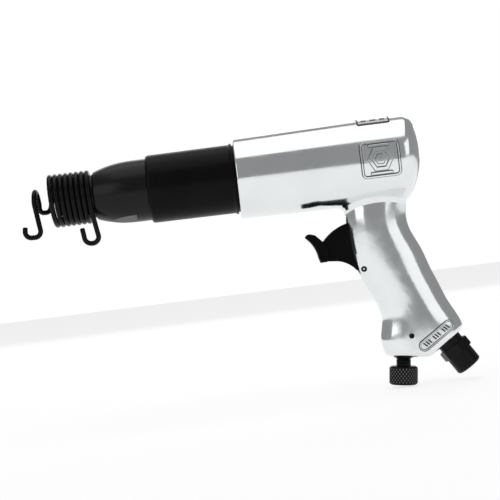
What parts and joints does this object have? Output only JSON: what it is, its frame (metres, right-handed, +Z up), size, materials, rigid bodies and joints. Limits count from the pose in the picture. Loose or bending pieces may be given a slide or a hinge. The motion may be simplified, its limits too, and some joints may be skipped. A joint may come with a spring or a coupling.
{
  "type": "pneumatic air hammer",
  "caption": "Pistol-grip pneumatic hammer with a coiled wire chisel retainer, hinged trigger and rotary air regulator under the grip.",
  "frame": {"origin": "centre of the chisel shank bore at the barrel's front face", "axes": "-X out of the shank bore, +X towards the rear of the barrel, +Z up and away from the grip, +Y across the tool"},
  "size_m": [0.2922, 0.0572, 0.1808],
  "materials": {
    "blued_steel": "satin black oxide",
    "sleeve_rubber": "satin moulded",
    "seal_rubber": "moulded",
    "tool_steel": "ground",
    "polished_aluminium": "semi-polished casting",
    "plate_foil": "printed foil",
    "trigger_black": "moulded",
    "pin_steel": "ground",
    "brass": "turned",
    "black_oxide": "black oxide",
    "spring_wire": "phosphate black"
  },
  "bodies": {
    "tool_body": {"handle_housing": "polished_aluminium", "name_plate": "plate_foil", "barrel": "blued_steel", "barrel_sleeve": "sleeve_rubber", "barrel_oring": "seal_rubber", "valve_case_front": "tool_steel", "valve_case_rear": "tool_steel", "rear_gasket": "seal_rubber", "valve_dowels": "tool_steel", "trigger_pin": "pin_steel", "throttle_bushing": "brass", "plunger_oring": "seal_rubber", "throttle_spring": "pin_steel", "regulator_pin": "pin_steel", "inlet_bushing": "black_oxide", "inlet_screen": "brass", "screen_ring": "pin_steel", "retainer_coil": "spring_wire"},
    "trigger_lever": {"trigger": "trigger_black"},
    "throttle": {"throttle_plunger": "pin_steel", "valve_seal": "seal_rubber", "throttle_valve": "brass"},
    "regulator": {"air_regulator": "black_oxide", "regulator_oring": "seal_rubber"},
    "hammer_piston": {"piston": "tool_steel"},
    "shuttle_valve": {"valve_disc": "tool_steel"},
    "latch": {"retainer_latch": "spring_wire"}
  },
  "joints": [
    {"name": "trigger_pull", "type": "hinge", "parent": "tool_body", "child": "trigger_lever", "pos_m": [0.193, 0, -0.0705], "axis": [0, 1, 0], "range_deg": [0, 10], "stiffness_Nm_per_rad": 0.6, "springref_deg": -5.73},
    {"name": "throttle_push", "type": "slide", "parent": "tool_body", "child": "throttle", "axis": [1, 0, 0], "range_m": [0, 0.0035], "deforming": ["throttle_spring"]},
    {"name": "regulator_turn", "type": "hinge", "parent": "tool_body", "child": "regulator", "pos_m": [0.2127, 0, -0.1316], "axis": [-0.1236, 0, -0.9923], "continuous": true},
    {"name": "piston_stroke", "type": "slide", "parent": "tool_body", "child": "hammer_piston", "axis": [-1, 0, 0], "range_m": [0, 0.089]},
    {"name": "valve_shift", "type": "slide", "parent": "tool_body", "child": "shuttle_valve", "axis": [-1, 0, 0], "range_m": [0, 0.0012]},
    {"name": "latch_swing", "type": "hinge", "parent": "tool_body", "child": "latch", "pos_m": [-0.0087, 0.01532, 0.00558], "axis": [-0.2798, 0.0706, -0.9574], "range_deg": [0, 35], "stiffness_Nm_per_rad": 0.4, "springref_deg": -2.86}
  ],
  "couplings": [
    {"joint": "throttle_push", "follows": "trigger_pull", "m_per_rad": 0.0193}
  ]
}
